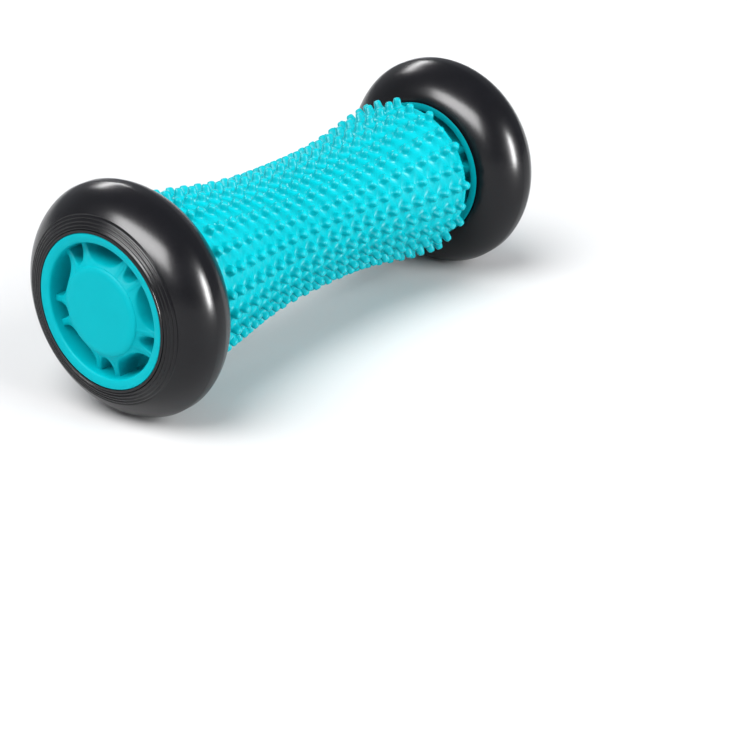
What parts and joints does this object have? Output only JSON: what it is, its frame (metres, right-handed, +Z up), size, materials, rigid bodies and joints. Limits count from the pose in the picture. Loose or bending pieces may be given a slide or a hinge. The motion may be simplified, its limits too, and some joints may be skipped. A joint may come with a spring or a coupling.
{
  "type": "foot massage roller",
  "caption": "Hourglass roller covered in massage pips, turning on an axle between wheels with rounded tyres and webbed hubs, to be rolled under the foot.",
  "frame": {"origin": "on the axle, midway between the wheels", "axes": "+X along the axle toward the right wheel, +Z up from the floor that the wheels roll on, +Y level across the roller"},
  "size_m": [0.1806, 0.0718, 0.0718],
  "materials": {
    "roller_turquoise": "smooth moulded, soft gloss",
    "hub_teal": "smooth moulded, satin gloss",
    "tyre_black": "smooth moulded rubber with a soft gloss",
    "steel": "turned and zinc plated",
    "bush_white": "moulded acetal",
    "inner_plastic": "moulded, dark grey"
  },
  "bodies": {
    "axle_body": {"axle": "steel", "left_spacer": "inner_plastic", "right_spacer": "inner_plastic", "left_washer": "steel", "right_washer": "steel", "left_axle_screw": "steel", "right_axle_screw": "steel"},
    "roller": {"roller_sleeve": "roller_turquoise", "core_tube": "inner_plastic", "left_end_plate": "roller_turquoise", "right_end_plate": "roller_turquoise", "left_roller_bush": "bush_white", "right_roller_bush": "bush_white"},
    "left_wheel": {"left_wheel_core": "hub_teal", "left_tyre": "tyre_black", "left_inner_bush": "bush_white", "left_outer_bush": "bush_white", "left_hub_cap": "hub_teal"},
    "right_wheel": {"right_wheel_core": "hub_teal", "right_tyre": "tyre_black", "right_inner_bush": "bush_white", "right_outer_bush": "bush_white", "right_hub_cap": "hub_teal"}
  },
  "joints": [
    {"name": "roller_spin", "type": "hinge", "parent": "axle_body", "child": "roller", "pos_m": [0, 0, 0], "axis": [1, 0, 0], "continuous": true},
    {"name": "left_wheel_spin", "type": "hinge", "parent": "axle_body", "child": "left_wheel", "pos_m": [-0.0781, 0, 0], "axis": [1, 0, 0], "continuous": true},
    {"name": "right_wheel_spin", "type": "hinge", "parent": "axle_body", "child": "right_wheel", "pos_m": [0.0781, 0, 0], "axis": [1, 0, 0], "continuous": true}
  ]
}
